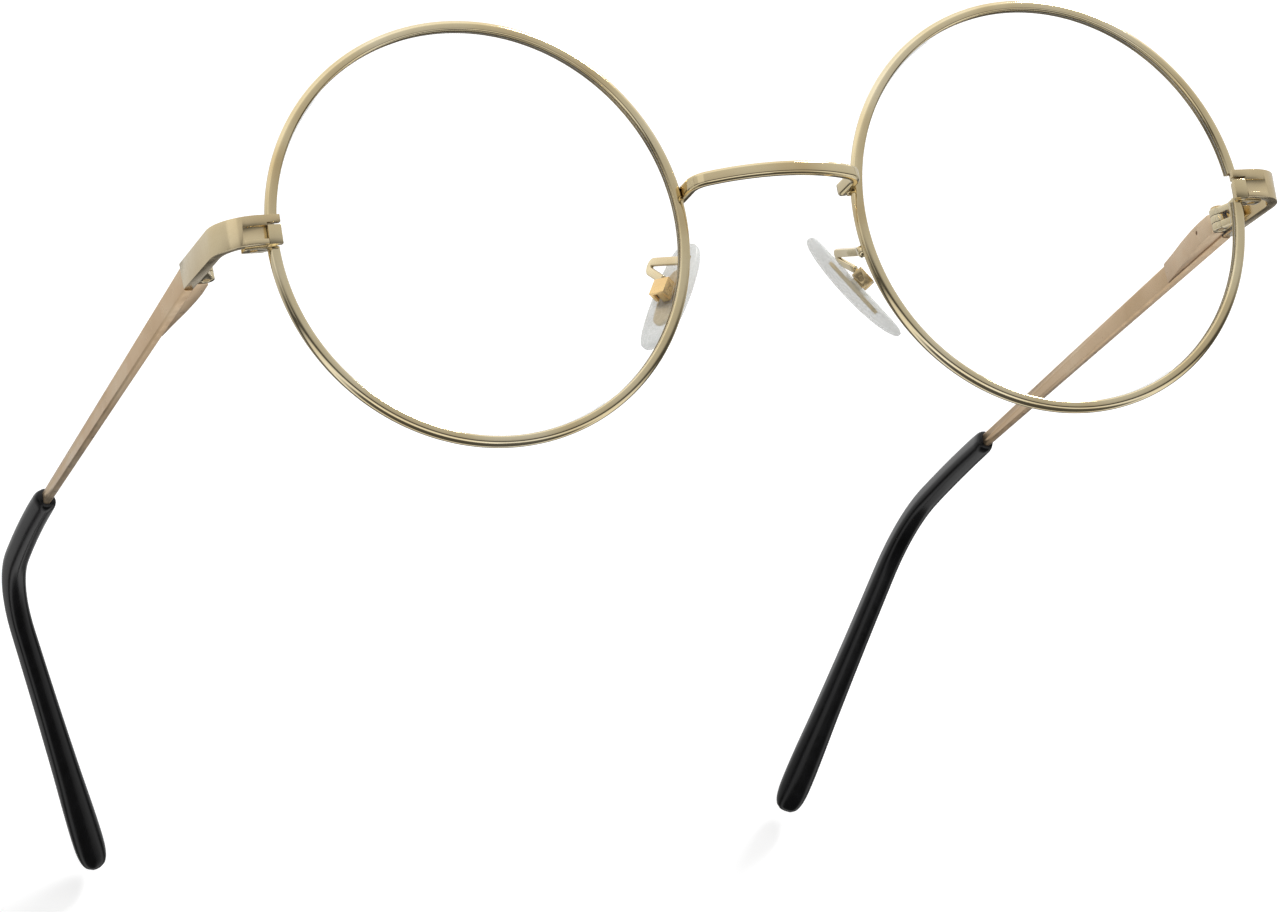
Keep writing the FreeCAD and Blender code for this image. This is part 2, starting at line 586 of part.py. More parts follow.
def make_tip():
    body = new_body("temple_tip_left", temple_place)
    outside = []
    for number, (distance, thick, tall) in enumerate(TIP_STATIONS):
        sketch = new_sketch(body, "TipSection%d" % number, offset=ear_frame(distance))
        octagon(sketch, thick, tall, 0.45 if thick > 1.8 else 0.4)
        outside.append(sketch)
    loft(body, "AdditiveLoft", "TipShell", outside, ruled=True)
    inside = []
    for number, distance in enumerate(CORE_STATIONS):
        reach = distance + 0.4 if distance == CORE_STATIONS[-1] else distance
        sketch = new_sketch(body, "BoreSection%d" % number, offset=ear_frame(reach))
        octagon(sketch, 0.8, 1.2, 0.2)
        inside.append(sketch)
    loft(body, "SubtractiveLoft", "CoreBore", inside, ruled=True)
    return body


# ----------------------------------------------------------------------------------------------------
# Nose pads: soft pad with a metal insert, held by a small screw in the box on the wire arm
# ----------------------------------------------------------------------------------------------------
PAD_CENTRE = Vector(11.45, 5.51, -7.48)
PAD_DOWN = Vector(8.15, -2.37, -13.06)
PAD_OUT = Vector(0.721, -0.445, 0.531)
ARM_ROOT = Vector(11.15, 0.15, -4.46)
ARM_CORNER = Vector(12.12, 12.3, -0.95)


def frame_from(x_axis, z_axis, base):
    z_unit = Vector(z_axis).normalize()
    y_unit = z_unit.cross(Vector(x_axis)).normalize()
    x_unit = y_unit.cross(z_unit)
    matrix = FreeCAD.Matrix(x_unit.x, y_unit.x, z_unit.x, base.x, x_unit.y, y_unit.y, z_unit.y, base.y,
                            x_unit.z, y_unit.z, z_unit.z, base.z, 0, 0, 0, 1)
    return Placement(matrix)


# Pad frame: local X runs down the pad, local Z points away from the nose, origin at the pad's middle.
pad_place = frame_from(PAD_DOWN, PAD_OUT, PAD_CENTRE)


def oval(sketch, long, wide):
    """Two side arcs and two end arcs, tangent to each other."""
    half_l, half_w = long / 2.0, wide / 2.0
    end_radius = 0.8 * half_w
    reach = half_l - end_radius
    side_radius = (reach * reach + half_w * half_w - end_radius * end_radius) / (2 * (half_w - end_radius))
    drop = side_radius - half_w
    span = math.hypot(reach, drop)
    knee_x = reach + end_radius * reach / span
    knee_y = end_radius * drop / span
    corners = [(-knee_x, -knee_y), (knee_x, -knee_y), (knee_x, knee_y), (-knee_x, knee_y)]
    crowns = [(0.0, -half_w), (half_l, 0.0), (0.0, half_w), (-half_l, 0.0)]
    for index in range(4):
        arc_through(sketch, corners[index], crowns[index], corners[(index + 1) % 4])


def lifted(level):
    return Placement(Vector(0, 0, level), Rotation())


def make_pad():
    body = new_body("nose_pad_left", pad_place)
    half = sheet.pad_thick / 2.0
    outline = new_sketch(body, "PadOutline", offset=lifted(-half))
    oval(outline, sheet.pad_long, sheet.pad_wide)
    block = extrude(body, "Pad", "PadBlock", outline, dim("pad_thick"))
    nose_side = soften(body, "NoseSide", block, sheet.pad_round,
                       lambda edge: edge.BoundBox.ZMax < 0.01 - half)
    soften(body, "OuterHem", nose_side, sheet.pad_hem, lambda edge: edge.BoundBox.ZMin > half - 0.01)
    # Recess that the box dips into, and below it the slot for the insert and its boss.
    recess = new_sketch(body, "BoxRecess", offset=lifted(half - sheet.seat_deep))
    rectangle(recess, -dim("seat_long") / 2, -dim("seat_wide") / 2, dim("seat_long") / 2, dim("seat_wide") / 2)
    extrude(body, "Pocket", "RecessPocket", recess, 2.0, backwards=True)
    slot = new_sketch(body, "InsertSlot", offset=lifted(sheet.insert_level - 0.05))
    oval(slot, sheet.insert_long + 0.1, sheet.insert_wide + 0.1)
    extrude(body, "Pocket", "InsertPocket", slot, dim("insert_thick") + 0.1, backwards=True)
    return body


def make_insert():
    body = new_body("pad_insert_left", pad_place)
    outline = new_sketch(body, "InsertOutline", offset=lifted(sheet.insert_level))
    oval(outline, sheet.insert_long, sheet.insert_wide)
    extrude(body, "Pad", "InsertPlate", outline, dim("insert_thick"))
    boss = new_sketch(body, "BossOutline", offset=lifted(sheet.insert_level + 0.1))
    rectangle(boss, -dim("boss_long") / 2, -dim("boss_wide") / 2, dim("boss_long") / 2, dim("boss_wide") / 2)
    extrude(body, "Pad", "Boss", boss, dim("boss_top") - dim("insert_level") - 0.1)
    hole = new_sketch(body, "BossHole", "XZ_Plane", lifted(3.0))
    circle(hole, 0, dim("pad_screw_level"), dim("pad_screw_radius") + dim("running_fit"))
    extrude(body, "Pocket", "ScrewBore", hole, 6.0)
    return body


def make_pad_box():
    body = new_body("pad_box_left", pad_place)
    outline = new_sketch(body, "BoxOutline", offset=lifted(sheet.box_floor))
    half_long, half_wide = dim("box_long") / 2, dim("box_wide") / 2
    rectangle(outline, -half_long, -half_wide, half_long, half_wide)
    ceiling = dim("boss_top") + 0.1
    extrude(body, "Pad", "Box", outline, ceiling + dim("box_roof") - dim("box_floor"))
    # The end towards the arm is closed.
    inside = new_sketch(body, "BoxInside", offset=lifted(sheet.box_floor))
    rectangle(inside, -half_long + 0.25, dim("box_wall") - half_wide, 2.0, half_wide - dim("box_wall"))
    extrude(body, "Pocket", "BoxCavity", inside, ceiling - dim("box_floor"), backwards=True)
    hole = new_sketch(body, "BoxHole", "XZ_Plane", lifted(3.0))
    circle(hole, 0, dim("pad_screw_level"), dim("pad_screw_radius") + dim("running_fit"))
    extrude(body, "Pocket", "ScrewBore", hole, 6.0)
    return body


def make_pad_screw():
    across = Placement(Vector(0, 0, sheet.pad_screw_level), Rotation(X, 90.0))
    reach = dim("box_wide") / 2
    return make_screw("pad_screw_left", pad_place.multiply(across), dim("pad_screw_radius"),
                      -reach - 0.02, reach, 0.46, 0.2, 0.12)


def make_pad_arm():
    onto = pad_place.multVec(Vector(-sheet.box_long / 2.0 - 0.25, 0.35, 2.0))
    first = ARM_CORNER - ARM_ROOT
    place = frame_from(first, first.cross(onto - ARM_CORNER), ARM_ROOT)
    body = new_body("pad_arm_left", place)
    corner = place.inverse().multVec(ARM_CORNER)
    last = place.inverse().multVec(onto)
    path = new_sketch(body, "ArmPath")
    # Straight back from the rim, one tight rounded bend, straight down to the box.
    bend = sheet.arm_bend
    back = Vector(last.x - corner.x, last.y - corner.y, 0).normalize()
    half_angle = math.acos(max(-1.0, min(1.0, -back.x))) / 2.0
    trim = bend / math.tan(half_angle)
    start_arc = Vector(corner.x - trim, 0, 0)
    end_arc = Vector(corner.x, corner.y, 0) + back * trim
    bisector = (back - Vector(1, 0, 0)).normalize()
    middle = Vector(corner.x, corner.y, 0) + bisector * (bend / math.sin(half_angle) - bend)
    path.addGeometry(Part.LineSegment(Vector(0, 0, 0), start_arc))
    path.addGeometry(Part.Arc(start_arc, middle, end_arc))
    path.addGeometry(Part.LineSegment(end_arc, Vector(last.x, last.y, 0)))
    section = new_sketch(body, "ArmSection", "YZ_Plane")
    octagon(section, sheet.arm_thick, sheet.arm_wide, 0.12)
    pipe = body.newObject("PartDesign::AdditivePipe", "ArmWire")
    pipe.Profile = section
    pipe.Spine = (path, ["Edge1", "Edge2", "Edge3"])
    pipe.Transition = "Round corner"
    doc.recompute()
    return body


# ----------------------------------------------------------------------------------------------------
# Build, mirror, stand, check, export
# ----------------------------------------------------------------------------------------------------
screw_place = Placement(Vector(sheet.lock_screw_x, sheet.lock_screw_y, 0), Rotation(X, 180.0))
lock_screw = make_screw("rim_lock_screw_left", screw_place, dim("lock_screw_radius"),
                        -dim("band_high") + 0.08, dim("plate_low") - 0.1, dim("screw_head_radius"),
                        dim("screw_head_tall"))
pin_place = hinge_place.multiply(Placement(Vector(), Rotation(X, 180.0)))
hinge_screw = make_screw("hinge_screw_left", pin_place, dim("pin_radius"), -dim("lug_half") - 0.02,
                         dim("lug_half"), 0.75, 0.3)

left_pieces = [
    make_rim(), make_lens(), make_end_piece(), make_lock_upper(), make_lock_lower(), lock_screw,
    make_hinge_leaf(), hinge_screw, make_slider(), make_hinge_spring(), make_housing(), make_temple(),
    make_tip(), make_pad(), make_insert(), make_pad_box(), make_pad_screw(), make_pad_arm(),
]
bridge = make_bridge()
doc.recompute()

pieces = [bridge]
for piece in left_pieces:
    mirrored = doc.addObject("Part::Mirroring", piece.Name.replace("_left", "_right"))
    mirrored.Label = mirrored.Name
    mirrored.Source = piece
    mirrored.Normal = X
    mirrored.Base = Vector(0, 0, 0)
    pieces += [piece, mirrored]
doc.recompute()

lean = Rotation(X, sheet.lean)
box = FreeCAD.BoundBox()
for piece in pieces:
    shape = piece.Shape.copy()
    shape.Placement = Placement(Vector(), lean).multiply(shape.Placement)
    box.add(shape.optimalBoundingBox(False, False))
STAND = Placement(Vector(0, -(box.YMin + box.YMax) / 2.0, -box.ZMin), lean)
for piece in left_pieces + [bridge]:
    piece.Placement = STAND.multiply(piece.Placement)
doc.recompute()

os.makedirs("parts", exist_ok=True)
problems = []
for piece in pieces:
    state = [word for word in piece.State if word in ("Invalid", "Error")]
    bad = state or piece.Shape.isNull() or not piece.Shape.isValid() or len(piece.Shape.Solids) != 1
    if bad:
        problems.append("%s: %s, %d solids" % (piece.Label, piece.State, len(piece.Shape.Solids)))
    else:
        piece.Shape.exportStep("parts/%s.step" % piece.Label)
for item in doc.Objects:
    if "Invalid" in item.State or "Error" in item.State:
        problems.append("%s (%s): %s" % (item.Name, item.Label, item.State))
print("stand", STAND)
print("pieces", len(pieces))
if problems:
    raise RuntimeError("; ".join(problems))
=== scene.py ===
"""Looks for the round wire eyeglasses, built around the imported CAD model."""
import json
import math

import bmesh
import bpy
from mathutils import Matrix, Vector, noise

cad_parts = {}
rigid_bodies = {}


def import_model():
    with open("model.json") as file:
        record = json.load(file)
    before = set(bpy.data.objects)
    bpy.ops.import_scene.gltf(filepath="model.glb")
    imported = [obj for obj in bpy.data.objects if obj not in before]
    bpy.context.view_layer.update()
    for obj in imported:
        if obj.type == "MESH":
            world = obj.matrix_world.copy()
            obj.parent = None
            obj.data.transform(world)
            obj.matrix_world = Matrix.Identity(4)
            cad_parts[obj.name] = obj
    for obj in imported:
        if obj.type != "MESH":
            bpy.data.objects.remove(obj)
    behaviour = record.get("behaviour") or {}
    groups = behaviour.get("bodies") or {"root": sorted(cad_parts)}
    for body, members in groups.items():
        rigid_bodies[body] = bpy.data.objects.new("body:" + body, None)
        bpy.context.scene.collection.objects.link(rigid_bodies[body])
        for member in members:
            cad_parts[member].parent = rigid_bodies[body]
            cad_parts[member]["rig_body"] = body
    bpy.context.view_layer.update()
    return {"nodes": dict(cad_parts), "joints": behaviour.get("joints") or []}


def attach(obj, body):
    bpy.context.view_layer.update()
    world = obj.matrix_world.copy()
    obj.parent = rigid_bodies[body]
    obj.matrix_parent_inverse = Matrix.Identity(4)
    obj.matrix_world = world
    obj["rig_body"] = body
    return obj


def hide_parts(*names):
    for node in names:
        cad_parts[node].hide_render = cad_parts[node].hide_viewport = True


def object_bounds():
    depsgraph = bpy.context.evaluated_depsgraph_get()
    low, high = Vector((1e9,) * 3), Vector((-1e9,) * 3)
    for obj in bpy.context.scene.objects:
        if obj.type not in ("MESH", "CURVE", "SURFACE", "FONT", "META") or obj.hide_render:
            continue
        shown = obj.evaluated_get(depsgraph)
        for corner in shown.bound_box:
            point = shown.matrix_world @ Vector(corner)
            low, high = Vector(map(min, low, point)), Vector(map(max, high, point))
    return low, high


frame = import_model()

# ----------------------------------------------------------------------------------------------------
# The frame front's own axes, in millimetres: +X left, -Y the way the lenses face, origin between the rims
# ----------------------------------------------------------------------------------------------------
MM = 0.001
# LEAN, HINGE, TEMPLE_SLOPE and TEMPLE_YAW repeat the CAD model and change with it
LEAN = math.radians(7.57)
HINGE = Vector((65.25, 13.2, 1.1))
TEMPLE_SLOPE = math.radians(5.27)
TEMPLE_YAW = math.radians(2.05)

fold = [joint for joint in frame["joints"] if joint["name"] == "left_fold"][0]
tilt = Matrix.Rotation(LEAN, 4, "X")
FRONT = Matrix.Translation(Vector(fold["pos_m"]) - (tilt @ HINGE) * MM) @ tilt @ Matrix.Scale(MM, 4)
TEMPLE = (Matrix.Translation(HINGE) @ Matrix.Rotation(-TEMPLE_SLOPE, 4, "X")
          @ Matrix.Rotation(TEMPLE_YAW, 4, "Z"))
MIRROR = Matrix.Diagonal((-1.0, 1.0, 1.0, 1.0))
SIDES = ("left", "right")


def new_piece(name, points, faces, side, body, material, replaced=()):
    """Makes one smooth piece from points in the frame front's millimetres; the right side is mirrored."""
    place = FRONT @ MIRROR if side == "right" else FRONT
    mesh = bpy.data.meshes.new(name)
    mesh.from_pydata([place @ Vector(point) for point in points], [], faces)
    shell = bmesh.new()
    shell.from_mesh(mesh)
    bmesh.ops.recalc_face_normals(shell, faces=shell.faces)
    shell.to_mesh(mesh)
    shell.free()
    mesh.polygons.foreach_set("use_smooth", [True] * len(mesh.polygons))
    piece = bpy.data.objects.new(name, mesh)
    bpy.context.scene.collection.objects.link(piece)
    mesh.materials.append(material)
    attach(piece, body)
    if replaced:
        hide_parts(*replaced)
    return piece


def keep_edges(piece, degrees):
    """Smooth shading that still shows edges sharper than the angle."""
    piece.data.set_sharp_from_angle(angle=math.radians(degrees))


def ring_faces(rings, around):
    """Quads between rings of equal size, with a cap on both ends of the tube."""
    faces = []
    for ring in range(rings - 1):
        low, high = ring * around, (ring + 1) * around
        for index in range(around):
            after = (index + 1) % around
            faces.append((low + index, low + after, high + after, high + index))
    faces.append(tuple(reversed(range(around))))
    faces.append(tuple(range((rings - 1) * around, rings * around)))
    return faces


def rounded(wide, tall, radius, per_corner=6):
    """Rectangle with round corners, anticlockwise, always with the same number of points."""
    radius = min(radius, 0.499 * wide, 0.499 * tall)
    points = []
    for quarter, (sx, sy) in enumerate(((1, -1), (1, 1), (-1, 1), (-1, -1))):
        for step in range(per_corner + 1):
            turn = math.radians(90.0) * (quarter - 1 + step / per_corner)
            points.append((sx * (wide / 2 - radius) + radius * math.cos(turn),
                           sy * (tall / 2 - radius) + radius * math.sin(turn)))
    return points


def smooth_step(value):
    value = max(0.0, min(1.0, value))
    return value * value * (3 - 2 * value)


def sweep(frames, sections):
    """Points of a tube: each section lies in the XY plane of its frame."""
    points = []
    for place, section in zip(frames, sections):
        points.extend(place @ Vector((x, y, 0.0)) for x, y in section)
    return points, ring_faces(len(frames), len(sections[0]))


def looking(origin, across, along):
    """Frame at origin whose X is across and whose Z runs along the sweep."""
    along = along.normalized()
    across = (across - along * across.dot(along)).normalized()
    upward = along.cross(across)
    place = Matrix((across, upward, along)).transposed().to_4x4()
    place.translation = origin
    return place


# ----------------------------------------------------------------------------------------------------
# Materials
# ----------------------------------------------------------------------------------------------------
class Nodes:
    """Small helper for building one procedural material. Textures use object space, in millimetres."""

    def __init__(self, name):
        self.material = bpy.data.materials.new(name)
        self.material.use_nodes = True
        self.tree = self.material.node_tree
        self.tree.nodes.clear()
        self.output = self.new("ShaderNodeOutputMaterial")
        self.shader = self.new("ShaderNodeBsdfPrincipled")
        self.link(self.shader.outputs["BSDF"], self.output.inputs["Surface"])
        self.space = self.new("ShaderNodeTexCoord").outputs["Object"]

    def new(self, kind, **values):
        node = self.tree.nodes.new(kind)
        for key, value in values.items():
            setattr(node, key, value)
        return node

    def link(self, source, target):
        self.tree.links.new(source, target)

    def set(self, **values):
        for key, value in values.items():
            self.shader.inputs[key.replace("_", " ")].default_value = value

    def grain(self, per_mm, detail=3.0, stretch=(1.0, 1.0, 1.0), rough=0.5):
        """Noise with about per_mm features in each millimetre."""
        mapping = self.new("ShaderNodeMapping")
        mapping.inputs["Scale"].default_value = [per_mm * 1000.0 * value for value in stretch]
        self.link(self.space, mapping.inputs["Vector"])
        texture = self.new("ShaderNodeTexNoise")
        texture.inputs["Scale"].default_value = 1.0
        texture.inputs["Detail"].default_value = detail
        texture.inputs["Roughness"].default_value = rough
        self.link(mapping.outputs["Vector"], texture.inputs["Vector"])
        return texture.outputs["Fac"]

    def spread(self, source, low, high, source_low=0.3, source_high=0.7):
        node = self.new("ShaderNodeMapRange")
        limits = (("From Min", source_low), ("From Max", source_high), ("To Min", low), ("To Max", high))
        for key, value in limits:
            node.inputs[key].default_value = value
        self.link(source, node.inputs["Value"])
        return node.outputs["Result"]

    def ramp(self, source, *stops):
        node = self.new("ShaderNodeValToRGB")
        elements = node.color_ramp.elements
        while len(elements) < len(stops):
            elements.new(0.5)
        for element, (position, colour) in zip(elements, stops):
            element.position = position
            element.color = (*colour, 1.0)
        self.link(source, node.inputs["Fac"])
        return node.outputs["Color"]

    def mix(self, factor, first, second):
        node = self.new("ShaderNodeMix", data_type="RGBA")
        for value, socket in ((factor, node.inputs[0]), (first, node.inputs[6]), (second, node.inputs[7])):
            if isinstance(value, bpy.types.NodeSocket):
                self.link(value, socket)
            else:
                socket.default_value = value
        return node.outputs[2]

    def bump(self, source, height_mm, strength=0.5):
        node = self.new("ShaderNodeBump")
        node.inputs["Strength"].default_value = strength
        node.inputs["Distance"].default_value = height_mm * MM
        self.link(source, node.inputs["Height"])
        self.link(node.outputs["Normal"], self.shader.inputs["Normal"])

    def crevice_shade(self, reach_mm):
        """White in the open, dark where a neighbouring surface is near: ambient occlusion, used as the mask
        for painted shade in corners.
        """
        node = self.new("ShaderNodeAmbientOcclusion", samples=6)
        node.inputs["Distance"].default_value = reach_mm * MM
        return node.outputs["AO"]


def plated(name, pale, mid, deep, rough_low, rough_high, streak=(1.0, 1.0, 1.0), grain_height=0.002,
           metal=1.0):
    """Gold plating: broad tone changes, fine streaks, tiny pits and painted shade that darkens the colour in
    the corners.
    """
    made = Nodes(name)
    broad = made.grain(0.09, detail=2.0)
    tone = made.ramp(broad, (0.3, deep), (0.5, mid), (0.68, pale))
    fine = made.grain(2.6, detail=5.0, stretch=streak, rough=0.6)
    tone = made.mix(made.spread(fine, 0.0, 0.1), tone, (*deep, 1.0))
    # painted shade: ambient occlusion darkens the base colour where parts meet and in corners
    shade = made.spread(made.crevice_shade(0.5), 0.0, 1.0, 0.15, 0.75)
    tone = made.mix(shade, [0.42 * value for value in deep] + [1.0], tone)
    made.link(tone, made.shader.inputs["Base Color"])
    wear = made.grain(0.8, detail=4.0)
    made.link(made.spread(wear, rough_low, rough_high), made.shader.inputs["Roughness"])
    made.bump(fine, grain_height)
    made.set(Metallic=metal)
    return made.material


def acetate():
    """Polished black plastic with faint scuffs and a very slight waviness."""
    made = Nodes("black_acetate")
    scuffs = made.grain(0.5, detail=6.0, stretch=(1.0, 0.25, 1.0), rough=0.7)
    made.link(made.ramp(scuffs, (0.35, (0.003, 0.003, 0.003)), (0.7, (0.008, 0.008, 0.009))),
              made.shader.inputs["Base Color"])
    made.link(made.spread(scuffs, 0.16, 0.28), made.shader.inputs["Roughness"])
    made.bump(made.grain(0.35, detail=2.0), 0.02, 0.35)
    made.set(IOR=1.38)
    return made.material


def silicone():
    """Translucent grey-white silicone, a little cloudy, matt from handling."""
    made = Nodes("silicone")
    cloud = made.grain(0.22, detail=3.0)
    made.link(made.ramp(cloud, (0.35, (0.60, 0.62, 0.59)), (0.65, (0.76, 0.77, 0.74))),
              made.shader.inputs["Base Color"])
    skin = made.grain(3.0, detail=4.0)
    made.link(made.spread(skin, 0.18, 0.34), made.shader.inputs["Roughness"])
    made.link(made.spread(cloud, 0.40, 0.50), made.shader.inputs["Alpha"])
    made.bump(skin, 0.01, 0.3)
    made.set(IOR=1.41)
    return made.material


def lens_glass():
    """Thin clear lens: almost nothing face on, a soft reflection at a grazing angle, and faint smears."""
    made = Nodes("clear_lens")
    smear = made.grain(0.05, detail=5.0, stretch=(1.0, 1.0, 2.2))
    edge_on = made.new("ShaderNodeFresnel")
    edge_on.inputs["IOR"].default_value = 1.32
    total = made.new("ShaderNodeMath", operation="ADD")
    made.link(made.spread(edge_on.outputs["Fac"], 0.0, 0.5, 0.02, 1.0), total.inputs[0])
    made.link(made.spread(smear, 0.012, 0.03), total.inputs[1])
    made.link(total.outputs["Value"], made.shader.inputs["Alpha"])
    made.link(made.ramp(smear, (0.3, (0.90, 0.93, 0.92)), (0.7, (0.97, 0.98, 0.98))),
              made.shader.inputs["Base Color"])
    made.link(made.spread(smear, 0.01, 0.05), made.shader.inputs["Roughness"])
    made.set(IOR=1.5)
    return made.material


def steel():
    made = Nodes("spring_steel")
    drawn = made.grain(3.0, detail=3.0, stretch=(1.0, 0.2, 1.0))
    made.link(made.ramp(drawn, (0.35, (0.42, 0.42, 0.43)), (0.65, (0.64, 0.64, 0.65))),
              made.shader.inputs["Base Color"])
    made.link(made.spread(drawn, 0.2, 0.4), made.shader.inputs["Roughness"])
    made.bump(drawn, 0.004)
    made.set(Metallic=1.0)
    return made.material


ALONG_TEMPLE = (1.0, 0.06, 1.0)
POLISHED = plated("polished_gold", (0.90, 0.79, 0.55), (0.82, 0.69, 0.43), (0.68, 0.53, 0.29), 0.06, 0.14)
SATIN = plated("satin_gold", (0.84, 0.66, 0.45), (0.78, 0.57, 0.36), (0.68, 0.48, 0.28), 0.26, 0.4,
               streak=ALONG_TEMPLE, grain_height=0.003)
BAND = plated("band_gold", (0.92, 0.80, 0.54), (0.83, 0.68, 0.42), (0.65, 0.50, 0.27), 0.12, 0.22,
              streak=(0.4, 0.4, 1.0), grain_height=0.003)
HARDWARE = plated("pad_hardware", (1.0, 0.78, 0.44), (0.95, 0.68, 0.32), (0.80, 0.52, 0.21), 0.16, 0.28)
INSERT = plated("insert_gold", (1.0, 0.80, 0.42), (0.98, 0.72, 0.32), (0.86, 0.58, 0.22), 0.3, 0.45,
                metal=0.35)
STEEL = steel()
ACETATE = acetate()
SILICONE = silicone()
LENS = lens_glass()

CAD_FINISH = {
    "lens": LENS, "end_piece": BAND, "rim_lock_upper": POLISHED, "rim_lock_lower": POLISHED,
    "rim_lock_screw": HARDWARE, "hinge_leaf": POLISHED, "hinge_screw": HARDWARE, "hinge_slider": POLISHED,
    "hinge_spring": STEEL, "hinge_housing": SATIN, "temple": SATIN, "pad_insert": INSERT,
    "pad_box": HARDWARE, "pad_screw": HARDWARE, "rim": POLISHED, "pad_arm": POLISHED,
    "nose_pad": SILICONE, "temple_tip": ACETATE,
}
for node, item in frame["nodes"].items():
    kind = node.rsplit("_", 1)[0] if node != "bridge" else "rim"
    item.data.materials.clear()
    item.data.materials.append(CAD_FINISH[kind])


# ----------------------------------------------------------------------------------------------------
# Small CAD pieces shown with softened edges: filed, tumbled and plated metal has no sharp edge
# ----------------------------------------------------------------------------------------------------
SOFT_EDGES = {
    "end_piece": ("tidy_band", 0.12), "rim_lock_upper": ("lock_block_upper", 0.16),
    "rim_lock_lower": ("lock_block_lower", 0.16), "hinge_leaf": ("hinge_plate", 0.08),
    "hinge_housing": ("hinge_cover", 0.14), "hinge_slider": ("hinge_knuckle", 0.06),
    "pad_box": ("pad_clamp", 0.14), "temple": ("side_arm", 0.1),
}


def soften_nodes():
    for kind, (title, reach) in SOFT_EDGES.items():
        for side in SIDES:
            node = kind + "_" + side
            source = frame["nodes"][node]
            shell = bmesh.new()
            shell.from_mesh(source.data)
            bmesh.ops.remove_doubles(shell, verts=shell.verts, dist=0.002 * MM)
            bmesh.ops.dissolve_limit(shell, angle_limit=math.radians(1.0), verts=shell.verts,
                                     edges=shell.edges)
            sharp = [edge for edge in shell.edges
                     if len(edge.link_faces) == 2 and edge.calc_face_angle(0.0) > math.radians(28.0)]
            bmesh.ops.bevel(shell, geom=sharp, offset=reach * MM, segments=3, profile=0.5, affect="EDGES",
                            clamp_overlap=True)
            bmesh.ops.recalc_face_normals(shell, faces=shell.faces)
            mesh = bpy.data.meshes.new(title + "_" + side)
            shell.to_mesh(mesh)
            shell.free()
            mesh.polygons.foreach_set("use_smooth", [True] * len(mesh.polygons))
            mesh.materials.append(CAD_FINISH[kind])
            piece = bpy.data.objects.new(title + "_" + side, mesh)
            bpy.context.scene.collection.objects.link(piece)
            keep_edges(piece, 35.0)
            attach(piece, source["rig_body"])
            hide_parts(node)


# ----------------------------------------------------------------------------------------------------
# Eyewires: polished wire with softly rounded corners and a groove for the lens
# ----------------------------------------------------------------------------------------------------
RIM_RADIUS, RIM_CENTRE, RIM_WRAP = 25.0, 36.26, 1.12
SPLIT_FROM, SPLIT_TO = -1.125, 6.825


def rim_section():
    """(radial, axial) outline, clockwise from the groove, of the 1.3 by 1.4 mm wire."""
    inner, outer, half = -0.65, 0.65, 0.7
    mouth, deep = 0.42, 0.35
    outline = [(inner + deep, 0.10), (inner, mouth)]
    tight, wide, steps = 0.25, 0.62, 8
    corners = ((inner + tight, half - tight, tight, 180.0), (outer - wide, half - wide, wide, 90.0))
    for centre_x, centre_y, radius, start in corners:
        for step in range(steps):
            turn = math.radians(start - 90.0 * step / (steps - 1))
            outline.append((centre_x + radius * math.cos(turn), centre_y + radius * math.sin(turn)))
    return outline + [(x, -y) for x, y in reversed(outline)]


def make_rims():
    section = rim_section()
    steps = 300
    wrap = Matrix.Translation((RIM_CENTRE, 0, 0)) @ Matrix.Rotation(math.radians(RIM_WRAP), 4, "Z")
    frames = []
    for step in range(steps + 1):
        turn = math.radians(SPLIT_TO + (360.0 + SPLIT_FROM - SPLIT_TO) * step / steps)
        outward = Vector((math.cos(turn), 0, math.sin(turn)))
        forward = Vector((-math.sin(turn), 0, math.cos(turn)))
        place = Matrix((outward, Vector((0, 1, 0)), forward)).transposed().to_4x4()
        place.translation = outward * RIM_RADIUS
        frames.append(wrap @ place)
    points, faces = sweep(frames, [section] * len(frames))
    for side in SIDES:
        piece = new_piece("eyewire_" + side, points, faces, side, "front", POLISHED,
                          ["rim_" + side])
        keep_edges(piece, 40.0)


# ----------------------------------------------------------------------------------------------------
# Bridge: bowed strip whose turned-back ends flow into solder at the eyewires
# ----------------------------------------------------------------------------------------------------
BRIDGE_TALL, BRIDGE_THICK, BRIDGE_END_X, BRIDGE_END_Y, BRIDGE_END_Z = 1.65, 1.2, 10.3, 1.0, 3.45
BRIDGE_LEG, BRIDGE_CORNER, BRIDGE_SLANT, BRIDGE_PITCH = 3.5, 2.5, math.radians(28.0), math.radians(3.6)
LEG_STEPS, CORNER_STEPS, BOW_STEPS = 8, 14, 28


def bridge_path():
    """Half path from the left end to the middle: (x, y, direction of travel) in the bridge plane."""
    half = []
    for step in range(LEG_STEPS):
        half.append((BRIDGE_END_X, -BRIDGE_LEG * step / LEG_STEPS, -90.0))
    turn = math.radians(90.0) - BRIDGE_SLANT
    for step in range(CORNER_STEPS):
        done = turn * step / CORNER_STEPS
        half.append((BRIDGE_END_X - BRIDGE_CORNER * (1 - math.cos(done)),
                     -BRIDGE_LEG - BRIDGE_CORNER * math.sin(done), -90.0 - math.degrees(done)))
    cut_x = BRIDGE_END_X - BRIDGE_CORNER * (1 - math.cos(turn))
    cut_y = -BRIDGE_LEG - BRIDGE_CORNER * math.sin(turn)
    radius = cut_x / math.sin(BRIDGE_SLANT)
    centre_y = cut_y + radius * math.cos(BRIDGE_SLANT)
    for step in range(BOW_STEPS + 1):
        angle = BRIDGE_SLANT * (1 - step / BOW_STEPS)
        half.append((radius * math.sin(angle), centre_y - radius * math.cos(angle),
                     -180.0 + math.degrees(angle)))
    return half


